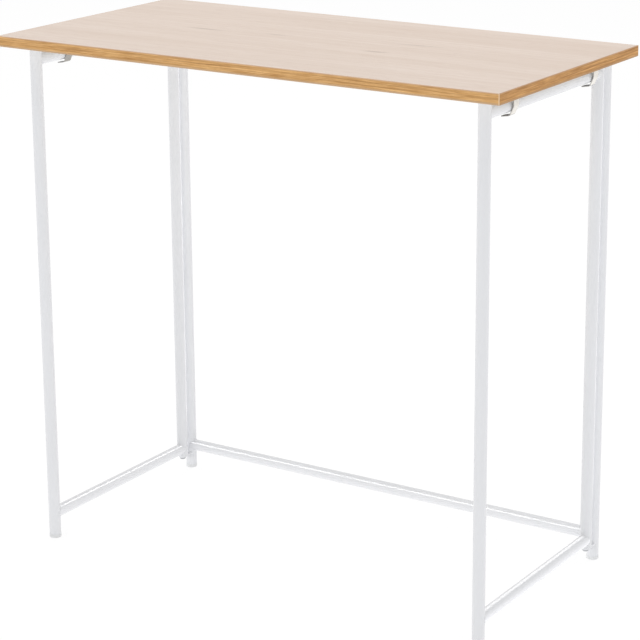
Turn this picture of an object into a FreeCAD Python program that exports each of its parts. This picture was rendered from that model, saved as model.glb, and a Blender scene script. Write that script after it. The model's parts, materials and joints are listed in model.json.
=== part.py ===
import FreeCAD, Part
import math
import os

# A folding desk: a lift-off board on a back frame with two side frames that swing on pivots.
# X runs along the desk, Y from front to back, Z up. The origin is on the floor under the board's middle.

# Board
desk_width = 800.0
desk_depth = 400.0
frame_height = 743.0           # floor to the board's underside
core_thickness = 13.8
laminate_thickness = 0.6
band_thickness = 1.0
band_round = 0.4               # rounding of the edge bands' outer edges

# Tubes and where they stand
tube_diameter = 17.2
tube_wall = 1.0
side_inset = 39.0              # board's end to a leg's axis
front_inset = 35.0             # board's front edge to a front leg's axis
back_inset = 20.5              # board's back edge to a back upright's axis
hinge_gap = 6.5                # open space between a back upright and the rear tube in front of it
top_rail_gap = 11.4            # open space between the board and the top rails
bottom_rail_height = 38.0      # floor to the axis of the bottom rails
weld_gap = 0.1                 # root gap where a tube or lug is welded to another tube

# Plastic feet and caps
foot_height = 5.0              # collar that shows under a tube
foot_proud = 0.2               # how far a foot's collar stands out from the tube
foot_round = 1.5
foot_stem = 16.0
cap_height = 2.0
cap_round = 0.6
cap_stem = 12.0
plug_clearance = 0.05          # between a plug or bush and the tube's bore
seat_gap = 0.3                 # left between the side frames' caps and the board, so that they can swing

# Pivots of the side frames
lug_thickness = 3.0
lug_width = 13.0
washer_thickness = 0.6
washer_diameter = 12.0
washer_clearance = 0.2
bush_length = 12.0
bolt_diameter = 5.0
bolt_head_diameter = 9.0
bolt_head_height = 3.6
bolt_head_round = 0.9
bolt_bite = 10.0               # length of bolt inside its bush
bolt_socket = 3.0              # width across flats of the socket in its head
bolt_socket_depth = 1.8
pivot_clearance = 0.05         # running fit between a bolt and its lug
thread_clearance = 0.05        # between a fastener and what it is screwed into
bolt_head_space = 1.0          # between an upper bolt's head and the board
rear_tube_overhang = 2.0       # how far the rear tube goes below the bottom rail

# Clips that hold the board on the top rails
clip_thickness = 1.2
clip_width = 14.0
clip_side_gap = 2.3            # between a clip's upright part and the side of the rail
clip_front_inset = 96.0        # board's front edge to the middle of a front clip
clip_back_inset = 75.0         # board's back edge to the middle of a back clip
clip_flange = 20.0             # flat length on the board
clip_bend = 2.0                # inside radius of the bend below the flange
clip_lean_start = 3.0          # height above the rail's axis where the strap starts to lean in
clip_lean = 24.0               # degrees that the strap leans in under the rail
clip_lean_radius = 9.4
clip_shank = 9.5               # straight leaning part
clip_hook_radius = 3.4         # inside radius of the bend under the rail
clip_wrap = 80.0               # degrees that a clip turns in all, from upright to its lip
clip_lip = 11.0
clip_corner = 2.5              # rounding of the strip's four corners

# Screws of the clips
screw_diameter = 3.5
screw_length = 11.0
screw_tip = 2.5
screw_head_diameter = 6.6
screw_head_height = 2.2
screw_head_round = 0.9
screw_slot = 1.0               # width of the cross recess
screw_slot_length = 3.6
screw_slot_depth = 1.1
screw_margin = 5.5             # flange's bend to the first screw, and last screw to the flange's end
screw_hole_clearance = 0.25    # round a screw in the clip

# Places worked out from the sizes above
board_thickness = core_thickness + 2 * laminate_thickness
desk_height = frame_height + board_thickness
tube_radius = tube_diameter / 2
bore_radius = tube_radius - tube_wall
leg_x = desk_width / 2 - side_inset
front_y = -desk_depth / 2 + front_inset
upright_y = desk_depth / 2 - back_inset
rear_y = upright_y - tube_diameter - hinge_gap
top_rail_z = frame_height - top_rail_gap - tube_radius
rear_bottom_z = bottom_rail_height - tube_radius - rear_tube_overhang
lower_lug_z = rear_bottom_z - washer_thickness - lug_thickness
upper_lug_z = frame_height - bolt_head_space - bolt_head_height - lug_thickness
rear_top_z = upper_lug_z - washer_thickness
bolt_radius = bolt_diameter / 2
screw_radius = screw_diameter / 2
clip_front_y = -desk_depth / 2 + clip_front_inset
clip_back_y = desk_depth / 2 - clip_back_inset

up = FreeCAD.Vector(0, 0, 1)
back = FreeCAD.Vector(0, 1, 0)
along = FreeCAD.Vector(1, 0, 0)


def point(x, y, z):
    return FreeCAD.Vector(x, y, z)


def export(name, shape):
    shape.exportStep("parts/" + name + ".step")


def box(x0, x1, y0, y1, z0, z1):
    return Part.makeBox(x1 - x0, y1 - y0, z1 - z0, point(x0, y0, z0))


def rod(radius, start, length, direction=up):
    return Part.makeCylinder(radius, length, start, direction)


def rims(shape, radius, z):
    """Round edges of a radius that lie flat at one height."""
    found = []
    for edge in shape.Edges:
        circle = edge.Curve
        if isinstance(circle, Part.Circle) and abs(circle.Radius - radius) < 1e-6 and abs(circle.Center.z - z) < 1e-6:
            found.append(edge)
    return found


# Tubes

def tube(start, length, direction=up):
    outer = rod(tube_radius, start, length, direction)
    return outer.cut(rod(bore_radius, start, length, direction))


def welded_rail(start, end, direction):
    """A level tube between two upright tubes' axes, with its ends coped to fit round them."""
    rail = tube(start, start.distanceToPoint(end), direction)
    for place in (start, end):
        post = rod(tube_radius + weld_gap, place - up * tube_diameter, 2 * tube_diameter)
        rail = rail.cut(post)
    return rail


# Plastic plugs

def foot(x, y):
    """Glide with a rounded collar on the floor and a stem up the tube."""
    radius = tube_radius + foot_proud
    collar = rod(radius, point(x, y, 0), foot_height)
    collar = collar.makeFillet(foot_round, rims(collar, radius, 0))
    stem = rod(bore_radius - plug_clearance, point(x, y, foot_height), foot_stem)
    return collar.fuse(stem).removeSplitter()


def cap(x, y, top):
    """Cap with a softly rounded flange on the tube's end and a stem down the tube."""
    flange = rod(tube_radius, point(x, y, top - cap_height), cap_height)
    flange = flange.makeFillet(cap_round, rims(flange, tube_radius, top))
    stem = rod(bore_radius - plug_clearance, point(x, y, top - cap_height - cap_stem), cap_stem)
    return flange.fuse(stem).removeSplitter()


# Pivots

def lug(x, z):
    """Plate from a back upright to the pivot's axis, with a round end and the pivot's hole."""
    half = lug_width / 2
    plate = box(x - half, x + half, rear_y, upright_y, z, z + lug_thickness)
    plate = plate.fuse(rod(half, point(x, rear_y, z), lug_thickness)).removeSplitter()
    plate = plate.cut(rod(tube_radius + weld_gap, point(x, upright_y, z), lug_thickness))
    return plate.cut(rod(bolt_radius + pivot_clearance, point(x, rear_y, z), lug_thickness))


def washer(x, z):
    ring = rod(washer_diameter / 2, point(x, rear_y, z), washer_thickness)
    return ring.cut(rod(bolt_radius + washer_clearance, point(x, rear_y, z), washer_thickness))


def bush(x, z):
    """Steel plug in the end of a rear tube, with the bolt's threaded hole."""
    plug = rod(bore_radius - plug_clearance, point(x, rear_y, z), bush_length)
    return plug.cut(rod(bolt_radius + thread_clearance, point(x, rear_y, z), bush_length))


def hexagon(width, centre, height):
    corner = width / math.sqrt(3)
    angles = [math.radians(60 * k) for k in range(7)]
    ring = [centre + point(corner * math.cos(a), corner * math.sin(a), 0) for a in angles]
    return Part.Face(Part.makePolygon(ring)).extrude(up * height)


def pivot_bolt(x, z, head_up):
    """Button-head bolt, its seat at height z, its shank through lug and washer into the bush."""
    head_radius = bolt_head_diameter / 2
    head = rod(head_radius, point(x, rear_y, z), bolt_head_height)
    head = head.makeFillet(bolt_head_round, rims(head, head_radius, z + bolt_head_height))
    socket_z = z + bolt_head_height - bolt_socket_depth
    head = head.cut(hexagon(bolt_socket, point(x, rear_y, socket_z), bolt_socket_depth))
    length = lug_thickness + washer_thickness + bolt_bite
    bolt = head.fuse(rod(bolt_radius, point(x, rear_y, z - length), length)).removeSplitter()
    if not head_up:
        bolt.rotate(point(x, rear_y, z), along, 180)
    return bolt


# Board

def sheet(bottom, thickness):
    """A panel inside the edge bands."""
    half_x = desk_width / 2 - band_thickness
    half_y = desk_depth / 2 - band_thickness
    return box(-half_x, half_x, -half_y, half_y, bottom, bottom + thickness)


def screw_places():
    """Where the clips' screws go, as points on the board's underside."""
    start = tube_radius + clip_side_gap + clip_thickness + clip_bend
    offsets = (start + screw_margin, start + clip_flange - screw_margin)
    places = []
    for side in (-1, 1):
        for y in (clip_front_y, clip_back_y):
            places += [point(side * leg_x + offset, y, frame_height) for offset in offsets]
    return places


def drilled(panel):
    for place in screw_places():
        panel = panel.cut(rod(screw_radius + thread_clearance, place, screw_length - clip_thickness))
    return panel


def edge_band(x0, x1, y0, y1, outward):
    """Strip on one edge of the board, with its outer long edges rounded."""
    band = box(x0, x1, y0, y1, frame_height, desk_height)
    outer = [e for e in band.Edges if outward(e.CenterOfMass) and abs(e.CenterOfMass.z - band.CenterOfMass.z) > 1]
    return band.makeFillet(band_round, outer)


# Clips

def polar(centre, radius, degrees):
    a = math.radians(degrees)
    return centre + point(radius * math.cos(a), 0, radius * math.sin(a))


def arc(centre, radius, start, end):
    ends = (polar(centre, radius, angle) for angle in (start, (start + end) / 2, end))
    return Part.Arc(*ends).toShape()


def line(a, b):
    return Part.LineSegment(a, b).toShape()


def clip(x, y):
    """Bent strip: flange under the board, strap down beside the rail that leans in under it, and a lip."""
    side_y = y - clip_width / 2
    strap_x = x + tube_radius + clip_side_gap
    origin = point(0, 0, 0)
    top_bend = point(strap_x + clip_thickness + clip_bend, side_y, frame_height - clip_thickness - clip_bend)
    lean_bend = point(strap_x - clip_lean_radius, side_y, top_rail_z + clip_lean_start)
    shank = polar(origin, clip_shank, -90 - clip_lean)
    hook_bend = polar(lean_bend, clip_lean_radius - clip_hook_radius, -clip_lean) + shank
    lip = polar(origin, clip_lip, -90 - clip_wrap)

    edges = []
    ends = []
    for depth in (0, clip_thickness):
        top = clip_bend + clip_thickness - depth
        lean = clip_lean_radius + depth
        hook = clip_hook_radius + depth
        flange_end = point(top_bend.x + clip_flange, side_y, frame_height - depth)
        lip_end = polar(hook_bend, hook, -clip_wrap) + lip
        ends.append((flange_end, lip_end))
        edges += [
            line(flange_end, polar(top_bend, top, 90)),
            arc(top_bend, top, 90, 180),
            line(polar(top_bend, top, 180), polar(lean_bend, lean, 0)),
            arc(lean_bend, lean, 0, -clip_lean),
            line(polar(lean_bend, lean, -clip_lean), polar(hook_bend, hook, -clip_lean)),
            arc(hook_bend, hook, -clip_lean, -clip_wrap),
            line(polar(hook_bend, hook, -clip_wrap), lip_end),
        ]
    edges += [line(inner, outer) for inner, outer in zip(*ends)]
    outline = Part.Wire(Part.__sortEdges__(edges))
    strip = Part.Face(outline).extrude(back * clip_width)
    corners = [edge for edge in strip.Edges if abs(edge.Length - clip_thickness) < 1e-6]
    strip = strip.makeFillet(clip_corner, corners)
    for place in screw_places():
        hole = rod(screw_radius + screw_hole_clearance, place - up * clip_thickness, clip_thickness)
        strip = strip.cut(hole)
    return strip


def clip_screw(place):
    """Pan-head screw that holds a clip, its head below the flange and its point in the board."""
    seat = place - up * clip_thickness
    head_radius = screw_head_diameter / 2
    bottom = seat.z - screw_head_height
    head = rod(head_radius, point(seat.x, seat.y, bottom), screw_head_height)
    head = head.makeFillet(screw_head_round, rims(head, head_radius, bottom))
    long_half = screw_slot_length / 2
    short_half = screw_slot / 2
    for half_x, half_y in ((long_half, short_half), (short_half, long_half)):
        recess = box(seat.x - half_x, seat.x + half_x, seat.y - half_y, seat.y + half_y,
                     bottom, bottom + screw_slot_depth)
        head = head.cut(recess)
    straight = screw_length - screw_tip
    shank = rod(screw_radius, seat, straight)
    tip = Part.makeCone(screw_radius, 0, screw_tip, seat + up * straight)
    return head.fuse(shank).fuse(tip).removeSplitter()


os.makedirs("parts", exist_ok=True)

# Board and what is fixed to it
under = frame_height
export("bottom_laminate", drilled(sheet(under, laminate_thickness)))
export("board_core", drilled(sheet(under + laminate_thickness, core_thickness)))
export("top_laminate", sheet(under + laminate_thickness + core_thickness, laminate_thickness))

half_w = desk_width / 2
half_d = desk_depth / 2
inner_w = half_w - band_thickness
inner_d = half_d - band_thickness
export("left_edge_band", edge_band(-half_w, -inner_w, -half_d, half_d, lambda c: abs(c.x + half_w) < 1e-6))
export("right_edge_band", edge_band(inner_w, half_w, -half_d, half_d, lambda c: abs(c.x - half_w) < 1e-6))
export("front_edge_band", edge_band(-inner_w, inner_w, -half_d, -inner_d, lambda c: abs(c.y + half_d) < 1e-6))
export("back_edge_band", edge_band(-inner_w, inner_w, inner_d, half_d, lambda c: abs(c.y - half_d) < 1e-6))
export("clip_screws", Part.Compound([clip_screw(place) for place in screw_places()]))

# Back frame, which stands still
for name, z in (("back_top_rail", top_rail_z), ("back_bottom_rail", bottom_rail_height)):
    export(name, welded_rail(point(-leg_x, upright_y, z), point(leg_x, upright_y, z), along))

for side_name, side in (("left", -1), ("right", 1)):
    x = side * leg_x

    # Fixed half of this side: upright, lugs and washers
    upright_top = frame_height - cap_height
    export(side_name + "_back_upright", tube(point(x, upright_y, foot_height), upright_top - foot_height))
    export(side_name + "_back_foot", foot(x, upright_y))
    export(side_name + "_back_cap", cap(x, upright_y, frame_height))
    export(side_name + "_lower_lug", lug(x, lower_lug_z))
    export(side_name + "_upper_lug", lug(x, upper_lug_z))
    export(side_name + "_lower_washer", washer(x, rear_bottom_z - washer_thickness))
    export(side_name + "_upper_washer", washer(x, rear_top_z))

    # Side frame that swings
    leg_top = frame_height - seat_gap
    export(side_name + "_front_leg", tube(point(x, front_y, foot_height), leg_top - cap_height - foot_height))
    export(side_name + "_front_foot", foot(x, front_y))
    export(side_name + "_front_cap", cap(x, front_y, leg_top))
    export(side_name + "_rear_tube", tube(point(x, rear_y, rear_bottom_z), rear_top_z - rear_bottom_z))
    for name, z in (("_top_rail", top_rail_z), ("_bottom_rail", bottom_rail_height)):
        export(side_name + name, welded_rail(point(x, front_y, z), point(x, rear_y, z), back))
    export(side_name + "_lower_bush", bush(x, rear_bottom_z))
    export(side_name + "_upper_bush", bush(x, rear_top_z - bush_length))
    export(side_name + "_lower_bolt", pivot_bolt(x, lower_lug_z, False))
    export(side_name + "_upper_bolt", pivot_bolt(x, upper_lug_z + lug_thickness, True))

    # Clips of this side
    export(side_name + "_front_clip", clip(x, clip_front_y))
    export(side_name + "_back_clip", clip(x, clip_back_y))
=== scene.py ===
import json
import math

import bpy
import numpy as np
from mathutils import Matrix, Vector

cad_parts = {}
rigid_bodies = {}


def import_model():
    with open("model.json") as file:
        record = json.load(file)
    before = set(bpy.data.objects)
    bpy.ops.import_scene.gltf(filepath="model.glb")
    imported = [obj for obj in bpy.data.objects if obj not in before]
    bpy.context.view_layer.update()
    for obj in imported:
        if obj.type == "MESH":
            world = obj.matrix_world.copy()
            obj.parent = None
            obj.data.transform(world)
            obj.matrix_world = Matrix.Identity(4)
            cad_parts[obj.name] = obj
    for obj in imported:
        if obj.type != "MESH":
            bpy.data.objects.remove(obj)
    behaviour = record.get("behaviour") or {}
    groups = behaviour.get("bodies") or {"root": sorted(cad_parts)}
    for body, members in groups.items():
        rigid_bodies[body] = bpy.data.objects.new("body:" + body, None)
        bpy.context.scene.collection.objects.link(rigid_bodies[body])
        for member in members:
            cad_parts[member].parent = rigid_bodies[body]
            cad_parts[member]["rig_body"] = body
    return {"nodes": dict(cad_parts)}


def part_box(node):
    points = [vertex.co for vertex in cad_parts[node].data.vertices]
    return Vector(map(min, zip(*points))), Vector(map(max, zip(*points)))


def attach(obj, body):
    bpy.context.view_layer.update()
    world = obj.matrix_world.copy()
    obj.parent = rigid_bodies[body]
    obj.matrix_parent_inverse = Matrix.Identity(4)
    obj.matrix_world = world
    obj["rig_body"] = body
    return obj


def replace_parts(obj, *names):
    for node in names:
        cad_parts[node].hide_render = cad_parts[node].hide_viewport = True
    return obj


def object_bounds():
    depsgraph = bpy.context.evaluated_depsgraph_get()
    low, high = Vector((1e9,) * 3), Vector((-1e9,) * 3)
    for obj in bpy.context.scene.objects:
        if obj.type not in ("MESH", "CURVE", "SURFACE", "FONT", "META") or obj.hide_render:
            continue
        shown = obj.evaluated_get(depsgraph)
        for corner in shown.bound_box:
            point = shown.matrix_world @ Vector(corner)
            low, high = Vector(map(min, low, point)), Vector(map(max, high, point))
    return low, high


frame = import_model()
cadBox = [list(corner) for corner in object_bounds()]
nodes = frame["nodes"]
mm = 0.001
xAxis, yAxis, zAxis = np.eye(3)
print("frame loaded,", len(nodes), "nodes")


def addObject(name, data):
    thing = bpy.data.objects.new(name, data)
    bpy.context.scene.collection.objects.link(thing)
    return thing


# Shader building: a node with its settings, and its inputs as values or as sockets to link

def addNode(tree, kind, inputs=None, **settings):
    node = tree.nodes.new(kind)
    for key, value in settings.items():
        setattr(node, key, value)
    for key, value in (inputs or {}).items():
        if isinstance(value, bpy.types.NodeSocket):
            tree.links.new(value, node.inputs[key])
        else:
            node.inputs[key].default_value = value
    return node


def srgb(red, green, blue):
    # screen colour, 0 to 255, as the linear colour that a shader takes
    c = np.array([red, green, blue]) / 255
    linear = np.where(c <= 0.04045, c / 12.92, ((c + 0.055) / 1.055) ** 2.4)
    return (*linear.tolist(), 1.0)


def mathNode(tree, operation, a, b=0.0):
    return addNode(tree, "ShaderNodeMath", {0: a, 1: b}, operation=operation).outputs[0]


def scaled(tree, value, times, plus):
    return mathNode(tree, "ADD", mathNode(tree, "MULTIPLY", value, times), plus)


def vectorNode(tree, operation, a, b):
    return addNode(tree, "ShaderNodeVectorMath", {0: a, 1: b}, operation=operation).outputs[0]


def stretched(tree, vector, share):
    # only X is scaled: with a share below 1 a pattern runs long along X, above 1 it gets shorter
    return vectorNode(tree, "MULTIPLY", vector, (share, 1.0, 1.0))


def ramp(tree, value, start, end):
    # 0 up to the start, 1 from the end on, smooth between; the end may be the lower of the two
    node = addNode(tree, "ShaderNodeMapRange", {"Value": value, "From Min": start, "From Max": end},
                   interpolation_type="SMOOTHSTEP")
    return node.outputs[0]


def noise(tree, vector, scale, detail=2.0, rough=0.5):
    node = addNode(tree, "ShaderNodeTexNoise",
                   {"Vector": vector, "Scale": scale, "Detail": detail, "Roughness": rough})
    return node.outputs[0]


def cloud(tree, vector, scale, detail=3.0):
    # slow soft patches
    return noise(tree, vector, scale, detail)


def mixColour(tree, factor, a, b, blend="MIX"):
    # input 0 is the factor, 6 and 7 the two colours, output 2 the mixed colour
    node = addNode(tree, "ShaderNodeMix", {0: factor, 6: a, 7: b}, data_type="RGBA", blend_type=blend)
    return node.outputs[2]


def tinted(tree, colour, towards, mask, share):
    # goes from one colour towards another by a share of the mask
    return mixColour(tree, mathNode(tree, "MULTIPLY", mask, share), colour, towards)


# Shared effects as node groups: apart from the Vector, inputs are numbers, and outputs are masks or values

def newGroup(name, inputs, outputs):
    group = bpy.data.node_groups.new(name, "ShaderNodeTree")
    for label in inputs:
        kind = "NodeSocketVector" if label == "Vector" else "NodeSocketFloat"
        group.interface.new_socket(name=label, in_out="INPUT", socket_type=kind)
    for label in outputs:
        group.interface.new_socket(name=label, in_out="OUTPUT", socket_type="NodeSocketFloat")
    return group, addNode(group, "NodeGroupInput").outputs, addNode(group, "NodeGroupOutput").inputs


def useGroup(tree, group, inputs):
    return addNode(tree, "ShaderNodeGroup", inputs, node_tree=group).outputs


# Each pattern keeps only a share of X, and so runs long along it
grainLook = {
    "swayX": 0.25, "swayScale": 14.0,
    "figureX": 0.06, "figureDetail": 3.0, "figureRamp": (0.3, 0.7),
    "lineX": 0.015, "lineDetail": 5.0, "lineRough": 0.65, "lineRamp": (0.3, 0.7),
    "poreX": 0.05, "poreDetail": 1.0, "poreRamp": (0.6, 0.72),
}


def woodGrainGroup(look):
    # long noises along the vector's X: broad figure, fine lines and short pores, all bent by a slow wander
    inputs = ["Vector", "Wander", "Figure Scale", "Line Scale", "Pore Scale"]
    group, given, out = newGroup("woodGrain", inputs, ["Figure", "Lines", "Pores"])
    slow = noise(group, stretched(group, given["Vector"], look["swayX"]), look["swayScale"])
    sway = mathNode(group, "MULTIPLY", mathNode(group, "SUBTRACT", slow, 0.5), given["Wander"])
    shift = addNode(group, "ShaderNodeCombineXYZ", {1: sway}).outputs[0]
    bent = vectorNode(group, "ADD", given["Vector"], shift)
    figure = noise(group, stretched(group, bent, look["figureX"]),
                   given["Figure Scale"], look["figureDetail"])
    lines = noise(group, stretched(group, bent, look["lineX"]),
                  given["Line Scale"], look["lineDetail"], look["lineRough"])
    pores = noise(group, stretched(group, bent, look["poreX"]), given["Pore Scale"], look["poreDetail"])
    group.links.new(ramp(group, figure, *look["figureRamp"]), out["Figure"])
    group.links.new(ramp(group, lines, *look["lineRamp"]), out["Lines"])
    group.links.new(ramp(group, pores, *look["poreRamp"]), out["Pores"])
    return group


skinLook = {"pebbleDetail": 1.5, "pebbleRough": 0.4, "sheenScale": 16.0}


def skinGroup(look):
    # fine surface: a pebbled height, and a roughness that drifts slowly between two values
    group, given, out = newGroup("fineSkin", ["Vector", "Pebble Scale", "Sheen Low", "Sheen High"],
                                 ["Height", "Roughness"])
    height = noise(group, given["Vector"], given["Pebble Scale"], look["pebbleDetail"], look["pebbleRough"])
    slow = cloud(group, given["Vector"], look["sheenScale"])
    span = mathNode(group, "SUBTRACT", given["Sheen High"], given["Sheen Low"])
    group.links.new(height, out["Height"])
    group.links.new(scaled(group, slow, span, given["Sheen Low"]), out["Roughness"])
    return group


woodGrain = woodGrainGroup(grainLook)
fineSkin = skinGroup(skinLook)


def newMaterial(name):
    material = bpy.data.materials.new(name)
    material.use_nodes = True
    tree = material.node_tree
    return material, tree, tree.nodes["Principled BSDF"], addNode(tree, "ShaderNodeTexCoord").outputs


def link(tree, source, shader, name):
    tree.links.new(source, shader.inputs[name])


def bumpInto(tree, shader, height, look):
    bump = addNode(tree, "ShaderNodeBump",
                   {"Height": height, "Strength": look["bump"], "Distance": look["bumpDepth"]})
    link(tree, bump.outputs[0], shader, "Normal")


def oakGrain(tree, vector, look):
    return useGroup(tree, woodGrain, {
        "Vector": vector, "Wander": look["wander"], "Figure Scale": look["figureScale"],
        "Line Scale": look["lineScale"], "Pore Scale": look["poreScale"]})


def oakColour(tree, grain, look):
    # two tones by the figure, then the lines and the pores over them
    colour = mixColour(tree, grain["Figure"], look["light"], look["dark"])
    colour = tinted(tree, colour, look["line"], grain["Lines"], look["lineShare"])
    return tinted(tree, colour, look["pore"], grain["Pores"], look["poreShare"])


# Oak laminate on top: pale, low contrast, long grain along the desk, flecks and a few soft darker streaks.
# A streak is (x, y, half length, half width, turn) on the board.

laminateLook = {
    "light": srgb(229, 212, 199), "dark": srgb(221, 202, 187), "line": srgb(215, 194, 177),
    "pore": srgb(200, 176, 158), "streak": srgb(191, 172, 157), "fleck": srgb(238, 224, 209),
    "lineShare": 0.35, "poreShare": 0.45, "streakShare": 0.9, "fleckShare": 0.5,
    "wander": 0.012, "figureScale": 26.0, "lineScale": 420.0, "poreScale": 800.0,
    "streaks": [(0.145, 0.040, 0.050, 0.0052, 0.096), (0.119, -0.032, 0.030, 0.0062, 0.10),
                (-0.185, 0.000, 0.045, 0.0060, 0.04), (-0.070, 0.012, 0.028, 0.0040, 0.0)],
    "streakFade": (1.0, 0.1), "streakBreak": (-0.5, 0.9),
    "fleckX": 0.2, "fleckScale": 210.0, "fleckDetail": 1.0, "fleckRamp": (0.70, 0.80),
    "roughLow": 0.42, "roughHigh": 0.56, "lineHeight": 0.4, "bump": 0.25, "bumpDepth": 0.00006,
}


def mapped(tree, vector, move=(0, 0, 0), turn=(0, 0, 0)):
    node = addNode(tree, "ShaderNodeMapping", {"Vector": vector, "Location": move, "Rotation": turn})
    return node.outputs[0]


def streakMask(tree, place, streak, fade):
    # soft ellipse on the board: 1 in its middle, 0 at its rim
    x, y, halfLength, halfWidth, turn = streak
    local = mapped(tree, mapped(tree, place, move=(-x, -y, 0)), turn=(0, 0, -turn))
    flat = vectorNode(tree, "MULTIPLY", local, (1 / halfLength, 1 / halfWidth, 0.0))
    far = addNode(tree, "ShaderNodeVectorMath", {0: flat}, operation="LENGTH").outputs["Value"]
    return ramp(tree, far, *fade)


def oakLaminate():
    look = laminateLook
    material, tree, shader, place = newMaterial("oakLaminate")
    grain = oakGrain(tree, place["Object"], look)
    colour = oakColour(tree, grain, look)
    dark = 0.0
    for streak in look["streaks"]:
        mask = streakMask(tree, place["Object"], streak, look["streakFade"])
        dark = mathNode(tree, "MAXIMUM", dark, mask)
    broken = mathNode(tree, "MULTIPLY", dark, ramp(tree, grain["Lines"], *look["streakBreak"]))
    colour = tinted(tree, colour, look["streak"], broken, look["streakShare"])
    spots = noise(tree, stretched(tree, place["Object"], look["fleckX"]),
                  look["fleckScale"], look["fleckDetail"])
    colour = tinted(tree, colour, look["fleck"], ramp(tree, spots, *look["fleckRamp"]), look["fleckShare"])
    link(tree, colour, shader, "Base Color")
    span = look["roughHigh"] - look["roughLow"]
    link(tree, scaled(tree, grain["Lines"], span, look["roughLow"]), shader, "Roughness")
    raised = mathNode(tree, "MULTIPLY", grain["Lines"], look["lineHeight"])
    bumpInto(tree, shader, mathNode(tree, "SUBTRACT", raised, grain["Pores"]), look)
    return material


# Honey oak edging: strong streaks along each strip, paler at the top, where the trimmed edge carries a
# painted highlight of the rounded arris, and greyer towards the bottom.
# A fade starts and ends at these distances from the strip's top, its bottom, or the side strips' ends.

edgingLook = {
    "light": srgb(252, 205, 141), "dark": srgb(221, 171, 107), "line": srgb(154, 103, 51),
    "pore": srgb(152, 108, 61), "trim": srgb(214, 180, 149), "seam": srgb(240, 214, 180),
    # sideShade is painted shade: it darkens the side strips, which face away from the light
    "under": srgb(203, 169, 132), "sideShade": srgb(234, 224, 212),
    "lineShare": 0.78, "poreShare": 0.35, "rough": 0.6, "shine": 0.25, "bump": 0.3, "bumpDepth": 0.00008,
    "shorten": 1.2, "wander": 0.002, "figureScale": 520.0, "lineScale": 480.0, "poreScale": 1500.0,
    "trimFade": (1.8 * mm, 0.3 * mm), "underFade": (3.6 * mm, 1.0 * mm), "seamFade": (0.4 * mm, 0.1 * mm),
}


def oakEdging(name, endsShow):
    look = edgingLook
    material, tree, shader, place = newMaterial(name)
    grain = oakGrain(tree, stretched(tree, place["UV"], look["shorten"]), look)
    colour = oakColour(tree, grain, look)
    spot = addNode(tree, "ShaderNodeSeparateXYZ", {0: place["Object"]}).outputs
    top, bottom, side = cadBox[1][2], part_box("front_edge_band")[0].z, cadBox[1][1]
    # paler, creamier top: a trimmed edge with a painted highlight along the rounded top arris
    trim = ramp(tree, spot["Z"], *(top - far for far in look["trimFade"]))
    colour = mixColour(tree, trim, colour, look["trim"])
    under = ramp(tree, spot["Z"], *(bottom + far for far in look["underFade"]))
    colour = mixColour(tree, under, colour, look["under"])
    if endsShow:
        # painted shade: the side strips' colour is darkened, as they face away from the light
        colour = mixColour(tree, 1.0, colour, look["sideShade"], "MULTIPLY")
        seam = ramp(tree, mathNode(tree, "ABSOLUTE", spot["Y"]), *(side - far for far in look["seamFade"]))
        colour = mixColour(tree, seam, colour, look["seam"])
    link(tree, colour, shader, "Base Color")
    shader.inputs["Roughness"].default_value = look["rough"]
    shader.inputs["Specular IOR Level"].default_value = look["shine"]
    bumpInto(tree, shader, mathNode(tree, "SUBTRACT", grain["Lines"], grain["Pores"]), look)
    return material


# Plain finishes: a colour with a slow drift, a pebbled skin and an uneven sheen

finishes = {
    "powderCoat": {
        "light": srgb(233, 234, 237), "dark": srgb(229, 230, 233), "driftScale": 9.0, "pebble": 620.0,
        "roughLow": 0.12, "roughHigh": 0.2, "metal": 0.0, "bump": 0.12, "bumpDepth": 0.0001},
    "whitePlastic": {
        "light": srgb(233, 234, 235), "dark": srgb(225, 226, 227), "driftScale": 60.0, "pebble": 2200.0,
        "roughLow": 0.48, "roughHigh": 0.6, "metal": 0.0, "bump": 0.3, "bumpDepth": 0.00006},
    "zincSteel": {
        "light": srgb(204, 206, 209), "dark": srgb(170, 172, 176), "driftScale": 420.0, "pebble": 1500.0,
        "roughLow": 0.24, "roughHigh": 0.42, "metal": 1.0, "bump": 0.15, "bumpDepth": 0.00005},
    "nylon": {
        "light": srgb(236, 234, 226), "dark": srgb(228, 225, 214), "driftScale": 80.0, "pebble": 1800.0,
        "roughLow": 0.4, "roughHigh": 0.5, "metal": 0.0, "bump": 0.15, "bumpDepth": 0.00004},
    "backingSheet": {
        "light": srgb(236, 231, 223), "dark": srgb(228, 221, 211), "driftScale": 22.0, "pebble": 1100.0,
        "roughLow": 0.5, "roughHigh": 0.62, "metal": 0.0, "bump": 0.25, "bumpDepth": 0.00006},
}


def plainFinish(name, look):
    material, tree, shader, place = newMaterial(name)
    skin = useGroup(tree, fineSkin, {"Vector": place["Object"], "Pebble Scale": look["pebble"],
                                     "Sheen Low": look["roughLow"], "Sheen High": look["roughHigh"]})
    drift = cloud(tree, place["Object"], look["driftScale"])
    link(tree, mixColour(tree, drift, look["light"], look["dark"]), shader, "Base Color")
    link(tree, skin["Roughness"], shader, "Roughness")
    shader.inputs["Metallic"].default_value = look["metal"]
    bumpInto(tree, shader, skin["Height"], look)
    return material


# Nickel on the clips: grey outside with rolled lines along it, paler and duller inside, with painted shade
# and a painted dark reflection in the hook.
# The UV's second value is near 0 on the outer side, near 1 on the inner side and near 2 in the hook, where
# the shade is painted.

nickelLook = {
    "light": srgb(174, 170, 164), "dark": srgb(148, 144, 138), "inside": srgb(225, 223, 220),
    "hook": srgb(64, 62, 61), "patchScale": 120.0, "patchRamp": (0.35, 0.75), "patchShare": 0.5,
    "insideRamp": (0.4, 0.85), "hookRamp": (1.2, 1.85),
    "lineX": 0.03, "lineScale": 1600.0, "lineDetail": 3.0, "lineBreak": 0.6,
    "rough": 0.16, "lineRough": 0.10, "insideRough": 0.2, "bump": 0.12, "bumpDepth": 0.00004,
}


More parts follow.
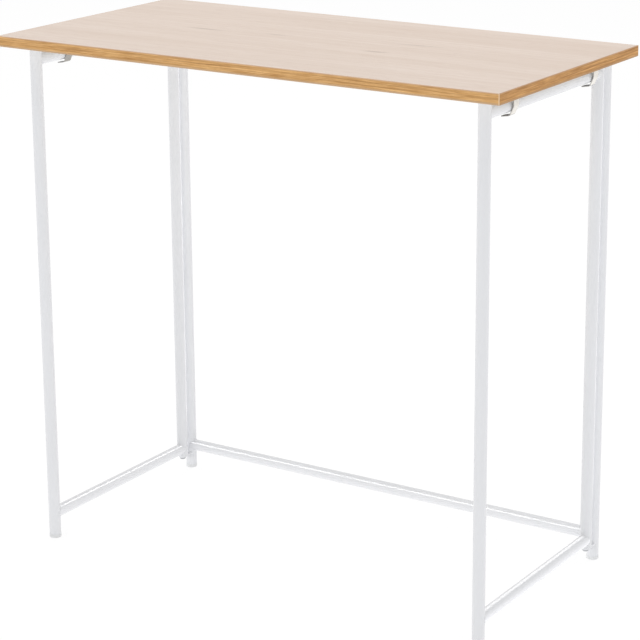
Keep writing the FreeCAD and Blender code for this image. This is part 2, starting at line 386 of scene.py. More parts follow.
def nickelPlate():
    look = nickelLook
    material, tree, shader, place = newMaterial("nickelPlate")
    rolled = stretched(tree, place["UV"], look["lineX"])
    lines = noise(tree, rolled, look["lineScale"], look["lineDetail"], look["lineBreak"])
    patches = ramp(tree, cloud(tree, place["Object"], look["patchScale"]), *look["patchRamp"])
    mark = addNode(tree, "ShaderNodeSeparateXYZ", {0: place["UV"]}).outputs["Y"]
    inside = ramp(tree, mark, *look["insideRamp"])
    colour = tinted(tree, look["light"], look["dark"], patches, look["patchShare"])
    colour = mixColour(tree, inside, colour, look["inside"])
    # painted shade and dark reflection: the hook's inner face is darkened
    colour = mixColour(tree, ramp(tree, mark, *look["hookRamp"]), colour, look["hook"])
    link(tree, colour, shader, "Base Color")
    rough = scaled(tree, lines, look["lineRough"], look["rough"])
    link(tree, scaled(tree, inside, look["insideRough"], rough), shader, "Roughness")
    shader.inputs["Metallic"].default_value = 1.0
    bumpInto(tree, shader, lines, look)
    return material


# Chipboard inside the board: flakes in several browns, pressed flat

chipLook = {"light": srgb(206, 178, 138), "dark": srgb(150, 118, 80), "flakeScale": 420.0, "press": 2.5,
            "rough": 0.85, "bump": 0.5, "bumpDepth": 0.0003}


def chipboard():
    look = chipLook
    material, tree, shader, place = newMaterial("chipboard")
    pressed = vectorNode(tree, "MULTIPLY", place["Object"], (1.0, 1.0, look["press"]))
    flakes = addNode(tree, "ShaderNodeTexVoronoi", {"Vector": pressed, "Scale": look["flakeScale"]}).outputs
    tone = addNode(tree, "ShaderNodeSeparateColor", {0: flakes["Color"]}).outputs[0]
    link(tree, mixColour(tree, tone, look["light"], look["dark"]), shader, "Base Color")
    shader.inputs["Roughness"].default_value = look["rough"]
    bumpInto(tree, shader, flakes["Distance"], look)
    return material


materials = {name: plainFinish(name, look) for name, look in finishes.items()}
materials["oakLaminate"] = oakLaminate()
materials["oakEdging"] = oakEdging("oakEdging", False)
materials["oakEdgingEnds"] = oakEdging("oakEdgingEnds", True)
materials["nickelPlate"] = nickelPlate()
materials["chipboard"] = chipboard()
print("materials made:", len(materials))


# Meshes: a grid of points becomes quads, open ends are closed by one flat face each

def gridQuads(rows, cols, wrapRows):
    # point numbers of each quad: a point, the next in its row, and both their neighbours in the next row
    r = np.arange(rows if wrapRows else rows - 1)
    r, c = np.meshgrid(r, np.arange(cols), indexing="ij")
    r2, c2 = (r + 1) % rows, (c + 1) % cols
    return np.stack([r * cols + c, r * cols + c2, r2 * cols + c2, r2 * cols + c], -1).reshape(-1, 4)


def insideOut(points, faces):
    # the volume under each face, fanned into triangles, adds up to less than nothing
    volume = 0.0
    for size in {len(face) for face in faces}:
        corners = points[np.array([face for face in faces if len(face) == size])]
        first, second, third = corners[:, :1], corners[:, 1:-1], corners[:, 2:]
        volume += (np.cross(second, third) * first).sum()
    return volume < 0


def gridPart(points, wrapRows):
    # one grid as (points, faces): the columns always wrap, the rows wrap or are closed at both ends
    rows, cols = points.shape[:2]
    faces = gridQuads(rows, cols, wrapRows).tolist()
    if not wrapRows:
        faces += [list(range(cols))[::-1], list(range((rows - 1) * cols, rows * cols))]
    flat = points.reshape(-1, 3)
    if insideOut(flat - flat.mean(0), faces):
        faces = [face[::-1] for face in faces]
    return flat, faces


def camel(node):
    first, *rest = node.split("_")
    return first + "".join(word.capitalize() for word in rest)


def makePiece(name, node, parts, material, uv=None, crease=32.0):
    # joins the parts into one mesh, which rides on the node's body and gets the given material
    points = np.concatenate([part[0] for part in parts])
    faces, start = [], 0
    for flat, own in parts:
        faces += [[start + corner for corner in face] for face in own]
        start += len(flat)
    mesh = bpy.data.meshes.new(name)
    mesh.from_pydata(points.tolist(), [], faces)
    mesh.shade_smooth()
    mesh.set_sharp_from_angle(angle=math.radians(crease))
    if uv is not None:
        corners = np.empty(len(mesh.loops), np.int32)
        mesh.loops.foreach_get("vertex_index", corners)
        spread = uv.reshape(-1, 2)[corners].astype(np.float32)
        mesh.uv_layers.new(name="along").data.foreach_set("uv", spread.ravel())
    mesh.materials.append(materials[material])
    piece = addObject(name, mesh)
    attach(piece, nodes[node]["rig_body"])
    return piece


def standFor(node, parts, material, uv=None):
    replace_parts(makePiece(camel(node), node, parts, material, uv), node)


def named(*endings):
    return [node for node in nodes if node.endswith(endings)]


def middle(node):
    low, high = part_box(node)
    return (np.array(low) + np.array(high)) / 2


def halfSize(node):
    low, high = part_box(node)
    return (np.array(high) - np.array(low)) / 2


def turnAngles(count):
    return np.linspace(0, 2 * np.pi, count, endpoint=False)


def quarter(count=5):
    return np.linspace(0, np.pi / 2, count)


# Tubes: outer wall, bore and rounded lips are one loop that is spun about the tube's axis.
# Where a rail meets a post, its end at each angle is set back by the post's circle.

tubeLook = {"wall": 1.0 * mm, "lip": 0.3 * mm, "rim": 1.0 * mm, "around": 80, "lipSteps": 4}
weldLook = {"gap": 0.1 * mm, "thin": 0.35 * mm, "thick": 1.15 * mm, "growth": 1.5, "ripple": 0.07,
            "ripples": 26, "around": 156, "section": 14, "crease": 60.0}


def tubeLoop(radius):
    # loop of (radius, inset from the end, which end): the lip at each end, then back along the bore.
    # Each lip ends in a short straight rim, which keeps the long wall's shading straight.
    look = tubeLook
    a = quarter(look["lipSteps"])
    lip = np.append(radius - look["lip"] * (1 - np.sin(a)), radius)
    inset = np.append(look["lip"] * (1 - np.cos(a)), look["lip"] + look["rim"])
    bore = radius - look["wall"]
    radii = np.concatenate([lip, lip[::-1], [bore, bore]])
    insets = np.concatenate([inset, inset[::-1], [0, 0]])
    atEnd = np.concatenate([np.zeros(len(lip)), np.ones(len(lip)), [1, 0]])
    return radii, insets, atEnd


def setBack(reach, offset):
    # how far a post of this radius stands in the way of a line that passes at this offset from its axis
    return np.sqrt(np.maximum(reach ** 2 - offset ** 2, 0.0))


def tubeGrid(start, end, radius, side, up, postRadius=0.0):
    # a point lies at its loop's distance along the axis, and at its loop's radius out at the angle theta
    length = np.linalg.norm(end - start)
    axis = (end - start) / length
    radii, insets, atEnd = tubeLoop(radius)
    theta = turnAngles(tubeLook["around"])[:, None]
    reach = postRadius + weldLook["gap"] if postRadius else 0.0
    back = setBack(reach, radii * np.cos(theta)) + insets
    along = np.where(atEnd == 0, back, length - back)
    out = np.cos(theta)[..., None] * side + np.sin(theta)[..., None] * up
    return start + along[..., None] * axis + radii[:, None] * out


def weldGrid(corner, inward, radius, side, up, postRadius):
    # bead on the seam of a rail and a post: a ring whose thickness grows towards top and bottom and ripples
    look = weldLook
    theta = turnAngles(look["around"])[:, None]
    phi = turnAngles(look["section"])[None]
    swell = look["thin"] + (look["thick"] - look["thin"]) * np.abs(np.sin(theta)) ** look["growth"]
    bead = swell * (1 + look["ripple"] * np.cos(look["ripples"] * theta))
    along = setBack(postRadius + look["gap"], radius * np.cos(theta)) + bead * np.sin(phi)
    out = np.cos(theta)[..., None] * side + np.sin(theta)[..., None] * up
    return corner + along[..., None] * inward + (radius + bead * np.cos(phi))[..., None] * out


def addWelds(node, beads, wrapRows):
    parts = [gridPart(bead, wrapRows) for bead in beads]
    makePiece(camel(node) + "Welds", node, parts, "powderCoat", crease=weldLook["crease"])


for node in named("_upright", "_leg", "_tube"):
    low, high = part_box(node)
    start, end = (np.array([*middle(node)[:2], z]) for z in (low.z, high.z))
    tube = tubeGrid(start, end, halfSize(node)[0], xAxis, yAxis)
    standFor(node, [gridPart(tube, True)], "powderCoat")

framePosts = {"back": ("left_back_upright", "right_back_upright")}
framePosts.update({side: (side + "_front_leg", side + "_rear_tube") for side in ("left", "right")})
railPosts = {f"{place}_{level}_rail": posts
             for place, posts in framePosts.items() for level in ("top", "bottom")}
for node, posts in railPosts.items():
    start, end = (np.array([*middle(post)[:2], middle(node)[2]]) for post in posts)
    axis = (end - start) / np.linalg.norm(end - start)
    radius, postRadius = halfSize(node)[2], halfSize(posts[0])[0]
    section = (radius, np.cross(axis, zAxis), zAxis, postRadius)
    standFor(node, [gridPart(tubeGrid(start, end, *section), True)], "powderCoat")
    addWelds(node, [weldGrid(start, axis, *section), weldGrid(end, -axis, *section)], True)
print("tubes and welds made")


# Round pieces: rows of (radius, height) spun about an upright axis; a radius may change with the angle

def spinGrid(centre, rows, around, upwards=1.0):
    # each row is a ring about the centre's upright line, at its own height above the centre, or below it
    theta = turnAngles(around)
    radius = np.stack([np.broadcast_to(r, theta.shape) for r, _ in rows])
    z = np.array([h for _, h in rows])[:, None] * upwards + np.zeros_like(radius)
    return np.array(centre) + np.stack([radius * np.cos(theta), radius * np.sin(theta), z], -1)


def roundOver(radius, height, r, fromSide=False, steps=5):
    # rows of a quarter-round rim: from the flat to the wall, or from the wall to the flat
    a = quarter(steps)
    rows = list(zip(radius - r + r * np.sin(a), height + r - r * np.cos(a)))
    return rows[::-1] if fromSide else rows


def stemRows(radius, start, end, tip):
    # a straight stem with a chamfered tip
    return [(radius, start), (radius, end - tip), (radius - tip, end)]


footLook = {"round": 1.5 * mm, "roundSteps": 7, "collar": 5.0 * mm, "topRound": 0.3 * mm, "topSteps": 4,
            "pole": 0.4 * mm, "dish": 0.35 * mm, "dishRadius": 5.2 * mm, "dishSlope": 0.6 * mm,
            "stemInset": 1.25 * mm, "tip": 1.0 * mm, "around": 72}
for node in named("_foot"):
    look = footLook
    low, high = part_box(node)
    wide = halfSize(node)[0]
    rows = [(look["pole"], look["dish"]), (look["dishRadius"] - look["dishSlope"], look["dish"])]
    rows += [(look["dishRadius"], 0.0)] + roundOver(wide, 0.0, look["round"], steps=look["roundSteps"])
    topRim = roundOver(wide, 0.0, look["topRound"], True, look["topSteps"])
    rows += [(r, look["collar"] - h) for r, h in topRim]
    rows += stemRows(wide - look["stemInset"], look["collar"], high.z - low.z, look["tip"])
    foot = spinGrid((*middle(node)[:2], low.z), rows, look["around"])
    standFor(node, [gridPart(foot, False)], "whitePlastic")

# Caps are drawn from their top downwards
capLook = {"flange": 2.0 * mm, "round": 0.6 * mm, "pole": 0.4 * mm, "stemInset": 1.05 * mm, "tip": 1.0 * mm,
           "around": 72}
for node in named("_cap"):
    look = capLook
    low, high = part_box(node)
    wide = halfSize(node)[0]
    rows = [(look["pole"], 0.0)] + roundOver(wide, 0.0, look["round"]) + [(wide, look["flange"])]
    rows += stemRows(wide - look["stemInset"], look["flange"], high.z - low.z, look["tip"])
    cap = spinGrid((*middle(node)[:2], high.z), rows, look["around"], upwards=-1.0)
    standFor(node, [gridPart(cap, False)], "whitePlastic")

washerLook = {"bore": 2.7 * mm, "round": 0.15 * mm, "roundSteps": 3, "around": 64}
for node in named("_washer"):
    look = washerLook
    low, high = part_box(node)
    tall = high.z - low.z
    rim = roundOver(halfSize(node)[0], 0.0, look["round"], steps=look["roundSteps"])
    rows = [(look["bore"], 0.0)] + rim + [(r, tall - h) for r, h in rim[::-1]] + [(look["bore"], tall)]
    washer = spinGrid((*middle(node)[:2], low.z), rows, look["around"])
    standFor(node, [gridPart(washer, True)], "nylon")
print("feet, caps and washers made")


# Pivot bolts: button head with a hexagonal socket, whose rows follow the hexagon's own radius

boltLook = {"head": 4.5 * mm, "headTall": 3.6 * mm, "round": 1.5 * mm, "roundSteps": 7, "socket": 3.0 * mm,
            "socketDeep": 1.8 * mm, "socketRings": (0.1, 0.6, 0.97), "socketEase": 0.05 * mm,
            "socketRim": 0.15 * mm, "shank": 2.5 * mm, "tip": 0.5 * mm, "around": 72}


def hexagonRadius(theta, acrossFlats):
    # half the width across flats, divided by the cosine of the angle to the nearest flat's middle
    sixth = np.pi / 3
    return acrossFlats / 2 / np.cos((theta + sixth / 2) % sixth - sixth / 2)


for node in named("_bolt"):
    look = boltLook
    low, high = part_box(node)
    headUp = "upper" in node
    hexagon = hexagonRadius(turnAngles(look["around"]), look["socket"])
    rows = [(hexagon * share, look["socketDeep"]) for share in look["socketRings"]]
    rows += [(hexagon, look["socketDeep"] - look["socketEase"])]
    rows += [(hexagon, look["socketRim"]), (hexagon + look["socketRim"], 0.0)]
    rows += roundOver(look["head"], 0.0, look["round"], steps=look["roundSteps"])
    rows += [(look["head"], look["headTall"])]
    rows += stemRows(look["shank"], look["headTall"], high.z - low.z, look["tip"])
    centre = (*middle(node)[:2], high.z if headUp else low.z)
    bolt = spinGrid(centre, rows, look["around"], upwards=-1.0 if headUp else 1.0)
    standFor(node, [gridPart(bolt, False)], "zincSteel")


# Clip screws: pan head with a cross recess, drawn the same way with a cross's radius.
# They go through the clips' flanges, so the clips' sizes stand here too. Angles are in degrees.

screwLook = {"shank": 1.75 * mm, "length": 11.0 * mm, "point": 2.5 * mm, "tip": 0.1 * mm,
             "head": 3.3 * mm, "headTall": 2.2 * mm, "round": 1.2 * mm, "roundSteps": 7,
             "slot": 1.0 * mm, "slotLong": 3.6 * mm, "slotDeep": 1.1 * mm,
             "slotRings": ((0.2, 1.0), (0.75, 0.9)), "slotRim": 0.08 * mm, "around": 64}
clipLook = {"thick": 1.2 * mm, "sideGap": 2.3 * mm, "bend": 2.0 * mm, "flangeLong": 20.0 * mm,
            "corner": 2.5 * mm, "leanStart": 3.0 * mm, "lean": 24.0, "leanRadius": 9.4 * mm,
            "shank": 9.5 * mm, "hookRadius": 3.4 * mm, "wrap": 80.0, "lip": 11.0 * mm, "lipFirst": 0.02,
            "edge": 0.3 * mm, "edgeSteps": 4, "screwMargin": 5.5 * mm, "arcSteps": 20, "runSteps": 24}


def crossRadius(theta, long, wide):
    # the nearer of an arm's end and an arm's side, at the angle from the nearest arm
    quarterTurn = np.pi / 2
    lean = (theta + quarterTurn / 2) % quarterTurn - quarterTurn / 2
    armEnd = long / 2 / np.cos(lean)
    armSide = wide / 2 / np.maximum(np.abs(np.sin(lean)), 1e-6)  # very far along the arm's own line
    return np.minimum(armEnd, armSide)


def screwGrid(place):
    # from the recess's floor up its walls, over the head's rim, and along the shank to the point
    look = screwLook
    cross = crossRadius(turnAngles(look["around"]), look["slotLong"], look["slot"])
    seat = look["headTall"]
    end = seat + look["length"]
    rows = [(cross * wide, look["slotDeep"] * deep) for wide, deep in look["slotRings"]]
    rows += [(cross, look["slotRim"]), (cross + look["slotRim"], 0.0)]
    rows += roundOver(look["head"], 0.0, look["round"], steps=look["roundSteps"])
    rows += [(look["head"], seat), (look["shank"], seat), (look["shank"], end - look["point"])]
    rows += [(look["tip"], end)]
    return spinGrid(place - zAxis * (clipLook["thick"] + look["headTall"]), rows, look["around"])


clipNodes = named("_clip")
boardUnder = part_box("bottom_laminate")[0].z
screwPlaces = []
for node in clipNodes:
    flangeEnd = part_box(node)[1].x
    for offset in (clipLook["screwMargin"], clipLook["flangeLong"] - clipLook["screwMargin"]):
        screwPlaces.append(np.array([flangeEnd - offset, middle(node)[1], boardUnder]))
standFor("clip_screws", [gridPart(screwGrid(place), False) for place in screwPlaces], "zincSteel")
print("bolts and screws made")


# Clips: a rounded strip section carried along a bent path, from the flange's end to the lip's tip.
# Each stretch of the path is a straight or an arc, given by its points and by its normals to the outside.

def arcStretch(centre, radius, start, end, outward):
    # points at the radius from the centre, with normals away from it, or towards it where outward is -1
    a = np.radians(np.linspace(start, end, clipLook["arcSteps"]))
    normal = np.stack([np.cos(a), np.sin(a)], -1)
    return np.array(centre) + radius * normal, normal * outward


def wayAt(degrees):
    # step of length 1 in this direction, counted from X towards Z
    return np.array([math.cos(math.radians(degrees)), math.sin(math.radians(degrees))])


def clipPath(axisX, axisZ, tubeRadius):
    # the strip's middle line in X and Z: flange under the board, bend, strap, lean, hook and lip.
    # The straights between two arcs need no points of their own.
    look = clipLook
    half = look["thick"] / 2
    strapX = axisX + tubeRadius + look["sideGap"] + half
    bendRadius, leanRadius, hookRadius = (look[key] + half for key in ("bend", "leanRadius", "hookRadius"))
    topBend = np.array([strapX + bendRadius, boardUnder - half - bendRadius])
    leanBend = np.array([strapX - leanRadius, axisZ + look["leanStart"]])
    shank = look["shank"] * wayAt(-90 - look["lean"])
    hookBend = leanBend + (leanRadius - hookRadius) * wayAt(-look["lean"]) + shank
    run = np.linspace(look["flangeLong"], 0, look["runSteps"])[:, None]
    flange = run * [1, 0] + [topBend[0], boardUnder - half]
    stretches = [
        (flange, np.tile([0.0, -1.0], (len(flange), 1))),
        arcStretch(topBend, bendRadius, 90, 180, -1),
        arcStretch(leanBend, leanRadius, 0, -look["lean"], 1),
        arcStretch(hookBend, hookRadius, -look["lean"], -look["wrap"], 1),
    ]
    lipStart, lipNormal = (part[-1] for part in stretches[-1])
    run = np.linspace(look["lipFirst"], 1, look["runSteps"])[:, None]
    lip = lipStart + run * look["lip"] * wayAt(-90 - look["wrap"])
    stretches.append((lip, np.tile(lipNormal, (len(lip), 1))))
    points, normals = (np.concatenate(part) for part in zip(*stretches))
    keep = np.r_[True, np.linalg.norm(np.diff(points, axis=0), axis=1) > 1e-7]  # drops doubled points
    return points[keep], normals[keep]


def cornerCut(distance, radius):
    # how much a rounded corner takes off the half width at this distance from the end
    d = np.clip(radius - distance, 0, radius)
    return radius - np.sqrt(radius ** 2 - d ** 2)


def stripSection(halfWide, halfThick, r, steps):
    # loop of (across, through) of a rectangle with rounded corners; straight rims keep the wide sides flat
    loop = []
    for k, (sx, sy) in enumerate(((1, 1), (-1, 1), (-1, -1), (1, -1))):
        a = quarter(steps) + k * np.pi / 2
        corner = np.stack([sx * (halfWide - r) + r * np.cos(a), sy * (halfThick - r) + r * np.sin(a)], -1)
        rim = [[sx * (halfWide - 2 * r), sy * halfThick]]
        loop += [rim, corner] if k % 2 else [corner, rim]
    return np.concatenate(loop)


for node in clipNodes:
    look = clipLook
    rail = node.split("_")[0] + "_top_rail"
    axis = middle(rail)
    points, normals = clipPath(axis[0], axis[2], halfSize(rail)[0])
    far = np.r_[0, np.cumsum(np.linalg.norm(np.diff(points, axis=0), axis=1))]
    halfWide = halfSize(node)[1]
    taken = cornerCut(np.minimum(far, far[-1] - far), look["corner"])
    section = stripSection(halfWide, look["thick"] / 2, look["edge"], look["edgeSteps"])
    across = section[:, 0] * ((halfWide - taken) / halfWide)[:, None]
    through = section[:, 1]
    grid = np.stack([points[:, :1] + normals[:, :1] * through, middle(node)[1] + across,
                     points[:, 1:] + normals[:, 1:] * through], -1)
    # the hook's inner face is marked for the nickel's painted shade
    inShadedHook = far > far[-1] - look["lip"] - look["hookRadius"]
    mark = across + (through < 0) * (1 + inShadedHook[:, None])  # read by the nickel
    uv = np.stack([far[:, None] + np.zeros_like(across), mark], -1)
    standFor(node, [gridPart(grid, False)], "nickelPlate", uv)
print("clips made")


# Pivot lugs: a ring between the plate's outline and the pivot's hole, with rounded edges.
# The outline is a half circle, two straight sides and the arc that is coped to the upright.

lugLook = {"hole": 2.55 * mm, "round": 0.5 * mm, "roundSteps": 4, "gap": 0.1 * mm, "tipSteps": 40,
           "sideSteps": 10, "copeSteps": 20}
lugWeldLook = {"thick": 1.2 * mm, "ripple": 0.08, "ripples": 54, "taperTo": 0.995, "steps": 60,
               "section": 12}


def lugOutline(halfWide, spacing, reach):
    # loop of (x, y) about the pivot; the upright's axis is at the spacing, and the coped arc at its reach
    look = lugLook
    tip = np.linspace(np.pi, 2 * np.pi, look["tipSteps"])
    lean = math.asin(halfWide / reach)
    cornerY = spacing - reach * math.cos(lean)
    side = np.linspace(0, cornerY, look["sideSteps"])[1:-1]
    cope = np.linspace(lean, -lean, look["copeSteps"])
    return np.concatenate([
        np.stack([halfWide * np.cos(tip), halfWide * np.sin(tip)], -1),
        np.stack([np.full(len(side), halfWide), side], -1),
        np.stack([reach * np.sin(cope), spacing - reach * np.cos(cope)], -1),
        np.stack([np.full(len(side), -halfWide), side[::-1]], -1),
    ])


def lugGrid(outline, pivot, bottom, thick):
    # on each line from the pivot to the outline: over the plate's rounded edge, then down the hole's wall
    look = lugLook
    length = np.linalg.norm(outline, axis=1, keepdims=True)
    a = quarter(look["roundSteps"])
    bySine, byCosine = look["round"] * (1 - np.sin(a)), look["round"] * (1 - np.cos(a))
    inset = np.concatenate([bySine, byCosine])
    heights = np.concatenate([byCosine, thick - bySine, [thick, 0]])
    radii = np.concatenate([length - inset, np.full((len(length), 2), look["hole"])], 1)
    way = outline / length
    return np.stack([pivot[0] + way[:, :1] * radii, pivot[1] + way[:, 1:] * radii,
                     bottom + heights + np.zeros_like(radii)], -1)


def lugBead(upright, level, faceUp, halfWide, reach):
    # bead on one face of the plate: an arc round the upright, rippled and thinned at both ends
    look = lugWeldLook
    lean = np.linspace(-1, 1, look["steps"])[:, None] * math.asin(halfWide / reach)
    taper = np.sqrt(1 - np.linspace(-look["taperTo"], look["taperTo"], look["steps"]) ** 2)[:, None]
    bead = look["thick"] * taper * (1 + look["ripple"] * np.cos(look["ripples"] * lean))
    phi = turnAngles(look["section"])[None]
    ring = reach + bead * np.cos(phi)
    return np.stack([upright[0] + ring * np.sin(lean), upright[1] - ring * np.cos(lean),
                     level + faceUp * bead * np.sin(phi)], -1)


for node in named("_lug"):
    side = node.split("_")[0]
    low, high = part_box(node)
    halfWide = halfSize(node)[0]
    pivot, upright = middle(side + "_rear_tube"), middle(side + "_back_upright")
    reach = halfSize(side + "_back_upright")[0] + lugLook["gap"]
    outline = lugOutline(halfWide, upright[1] - pivot[1], reach)
    standFor(node, [gridPart(lugGrid(outline, pivot, low.z, high.z - low.z), True)], "powderCoat")
    faces = ((low.z, -1), (high.z, 1))
    addWelds(node, [lugBead(upright, level, faceUp, halfWide, reach) for level, faceUp in faces], False)
print("lugs made")


# Edge bands: a strip section with its two outer edges rounded, carried along the board's edge.
# The side bands' ends show, so there the strip's outer face curves in. Each band has its own grain.

bandLook = {"round": 0.4 * mm, "endRound": 0.3 * mm, "endRun": 10.0 * mm, "runSteps": 40, "grainShift": 3.0}


def bandSection(thick, bottom, top, r):
    # loop of (outwards, height), from the hidden inner face and back to it; straight rims edge the flat
    a = quarter()
    low = np.stack([thick - r + r * np.sin(a), bottom + r - r * np.cos(a)], -1)
    high = np.stack([thick - r + r * np.cos(a), top - r + r * np.sin(a)], -1)
    rims = [[thick, bottom + 2 * r], [thick, top - 2 * r]]
    return np.concatenate([[[0, bottom]], low, rims, high, [[0, top]]])


bandSides = {"front_edge_band": (xAxis, -yAxis), "back_edge_band": (xAxis, yAxis),
             "left_edge_band": (yAxis, -xAxis), "right_edge_band": (yAxis, xAxis)}
for k, (node, (length, outward)) in enumerate(bandSides.items()):
    look = bandLook
    low, high = (np.array(corner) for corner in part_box(node))
    endsShow = node.startswith(("left", "right"))
    start, end = low @ length, high @ length
    thick = abs((high - low) @ outward)
    innerFace = min(abs(low @ outward), abs(high @ outward))
    section = bandSection(thick, low[2], high[2], look["round"])
    ease = look["endRound"] * (1 - np.cos(quarter()))
    run = np.linspace(start + look["endRun"], end - look["endRun"], look["runSteps"])
    s = np.concatenate([start + ease, run, end - ease[::-1]])
    taken = cornerCut(np.minimum(s - start, end - s), look["endRound"]) if endsShow else np.zeros(len(s))
    out = innerFace + section[:, 0] * ((thick - taken) / thick)[:, None]
    grid = s[:, None, None] * length + out[..., None] * outward + section[:, 1][None, :, None] * zAxis
    uv = np.stack([s[:, None] + look["grainShift"] * k + np.zeros_like(out),
                   section[:, 1] + np.zeros_like(out)], -1)
    standFor(node, [gridPart(grid, False)], "oakEdgingEnds" if endsShow else "oakEdging", uv)
print("edge bands made")


# CAD pieces that keep their own shape and get a finish

keptFinish = {"board_core": "chipboard", "top_laminate": "oakLaminate", "bottom_laminate": "backingSheet"}
keptFinish.update({node: "zincSteel" for node in named("_bush")})
for node, finish in keptFinish.items():
    nodes[node].data.materials.clear()
    nodes[node].data.materials.append(materials[finish])
print("kept nodes finished:", len(keptFinish))


# Studio: white to the camera and to reflections, softer as a light source; the floor keeps a faint shadow

studioLook = {"white": (1, 1, 1, 1), "ambient": 0.69, "floorColour": srgb(250, 250, 250), "floorSize": 14.0,
              "floorShadow": 0.14}

# Lamps as (place, aim, size, watts): four panels light everything
panels = {
    "overheadPanel": ((0.0, 0.2, 2.9), (0, 0, 0.7), (3.0, 2.4), 18),
    "leftPanel": ((-2.8, 0.4, 1.3), (0, 0, 0.5), (2.0, 2.4), 1),
    "rightPanel": ((2.6, 1.4, 1.3), (0, 0, 0.5), (2.0, 2.4), 5),
    "frontPanel": ((-0.8, -3.2, 1.4), (0, 0, 0.5), (2.0, 2.4), 6),
}
# Washes light the matt side of the named objects alone, and nothing else casts a shadow there
washes = {
    "floorWash": ((0, 0, 3.0), (0, 0.001, 0), (12.0, 12.0), 195, ["floor"]),
    "uprightWash": ((-0.8, -3.2, 1.0), (0, 0.18, 0.4), (1.0, 1.0), 18,
                    [side + part for side in ("left", "right")
                     for part in ("BackUpright", "BackFoot", "LowerLug", "LowerLugWelds")]),
    "railWash": ((1.2, -2.6, 0.5), (0, 0, 0.04), (1.0, 0.5), 9.5, ["leftBottomRail", "backBottomRail"]),
    "lowWash": ((1.2, -0.2, -0.8), (0.36, 0, 0.04), (0.8, 0.8), 4.5, ["rightBottomRail"]),
}
# Sheens show only in the gloss of the named objects: the bright right clips, the white line on each
# rear tube and the long highlights on the bottom rails
sheens = {
    "clipSheen": ((0.73, 0.9, 0.34), (0.37, -0.1, 0.73), (0.9, 0.9), 2.2,
                  ["rightFrontClip", "rightBackClip"]),
    "leftRim": ((-0.292, 0.55, 0.31), (-0.361, 0.156, 0.31), (0.14, 0.72), 0.62, ["leftRearTube"]),
    "rightRim": ((0.444, 0.547, 0.31), (0.361, 0.156, 0.31), (0.14, 0.72), 0.33, ["rightRearTube"]),
    "backSheen": ((-1.15, -1.0, 1.72), (-1.15, 0.18, 0.04), (1.9, 0.6), 42, ["backBottomRail"]),
    "leftSheen": ((-0.16, 2.2, 2.05), (-0.36, 2.2, 0.04), (1.8, 0.7), 35, ["leftBottomRail"]),
    "rightSheen": ((-0.15, 2.95, 2.05), (0.36, 2.95, 0.04), (1.5, 0.5), 9, ["rightBottomRail"]),
    "rightGlow": ((-1.3, 3.65, 2.05), (0.36, 3.65, 0.04), (1.8, 1.8), 26, ["rightBottomRail"]),
}


def seenDirectly(tree):
    # 1 for rays from the camera, in reflections and through glass, else 0
    ray = addNode(tree, "ShaderNodeLightPath").outputs
    seen = mathNode(tree, "MAXIMUM", ray["Is Camera Ray"], ray["Is Glossy Ray"])
    return mathNode(tree, "MAXIMUM", seen, ray["Is Transmission Ray"])


def mixShader(tree, factor, a, b):
    return addNode(tree, "ShaderNodeMixShader", {0: factor, 1: a, 2: b}).outputs[0]


def makeWorld(look):
    world = bpy.data.worlds.new("studio")
    bpy.context.scene.world = world
    world.use_nodes = True
    tree = world.node_tree
    tree.nodes.clear()
    lit = addNode(tree, "ShaderNodeBackground", {0: look["white"], 1: look["ambient"]}).outputs[0]
    seen = addNode(tree, "ShaderNodeBackground", {0: look["white"], 1: 1.0}).outputs[0]
    addNode(tree, "ShaderNodeOutputWorld", {0: mixShader(tree, seenDirectly(tree), lit, seen)})


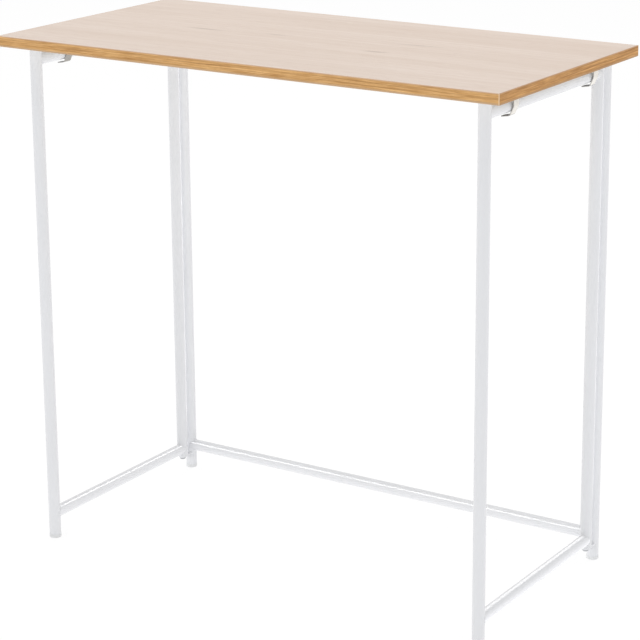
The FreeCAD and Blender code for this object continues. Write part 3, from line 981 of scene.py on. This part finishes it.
def makeFloor(look):
    material = bpy.data.materials.new("paleFloor")
    material.use_nodes = True
    tree = material.node_tree
    tree.nodes.clear()
    matt = addNode(tree, "ShaderNodeBsdfDiffuse", {0: look["floorColour"]}).outputs[0]
    bright = addNode(tree, "ShaderNodeEmission", {0: look["white"], 1: 1.0}).outputs[0]
    share = mathNode(tree, "MULTIPLY", seenDirectly(tree), 1 - look["floorShadow"])
    # seen from below, the floor is clear
    below = addNode(tree, "ShaderNodeNewGeometry").outputs["Backfacing"]
    clear = addNode(tree, "ShaderNodeBsdfTransparent").outputs[0]
    surface = mixShader(tree, below, mixShader(tree, share, matt, bright), clear)
    addNode(tree, "ShaderNodeOutputMaterial", {0: surface})
    half = look["floorSize"] / 2
    corners = [(-half, -half, 0), (half, -half, 0), (half, half, 0), (-half, half, 0)]
    mesh = bpy.data.meshes.new("floor")
    mesh.from_pydata(corners, [], [(0, 1, 2, 3)])
    mesh.materials.append(material)
    addObject("floor", mesh)


def makeLamp(name, place, aim, size, watts):
    data = bpy.data.lights.new(name, "AREA")
    data.shape = "RECTANGLE"
    data.size, data.size_y = size
    data.energy = watts
    light = addObject(name, data)
    light.location = place
    way = np.array(aim, float) - np.array(place)
    turn = math.atan2(way[1], way[0]) - math.pi / 2
    tilt = math.atan2(math.hypot(way[0], way[1]), -way[2])
    light.rotation_euler = (tilt, 0, turn)
    return light


def makeOwnLamp(name, place, aim, size, watts, onto):
    light = makeLamp(name, place, aim, size, watts)
    alone = bpy.data.collections.new(name + "Only")
    for target in onto:
        alone.objects.link(bpy.data.objects[target])
    light.light_linking.receiver_collection = alone
    light.light_linking.blocker_collection = alone
    return light


makeWorld(studioLook)
makeFloor(studioLook)
for name, lamp in panels.items():
    makeLamp(name, *lamp)
for name, lamp in washes.items():
    makeOwnLamp(name, *lamp).visible_glossy = False
for name, lamp in sheens.items():
    sheen = makeOwnLamp(name, *lamp)
    sheen.visible_diffuse = False
    sheen.visible_camera = False


# Camera: place and turn, with the focal length and optical centre in pixels of a 640 picture

cameraLook = {"place": (1.65065, -2.52793, 1.28158), "turn": 0.5483, "dip": 0.2641, "focal": 2199.93,
              "centre": (379.71, 244.11), "picture": 640.0, "sensor": 36.0, "sight": 50.0}


def makeCamera(look):
    data = bpy.data.cameras.new("photoView")
    data.sensor_width = look["sensor"]
    data.lens = look["sensor"] * look["focal"] / look["picture"]
    half = look["picture"] / 2
    data.shift_x = (half - look["centre"][0]) / look["picture"]
    data.shift_y = (look["centre"][1] - half) / look["picture"]
    data.clip_end = look["sight"]
    camera = addObject("photoView", data)
    camera.location = look["place"]
    camera.rotation_euler = (math.pi / 2 - look["dip"], 0, look["turn"])
    bpy.context.scene.camera = camera


makeCamera(cameraLook)
bpy.context.scene.view_settings.view_transform = "Standard"
print("studio and camera ready")
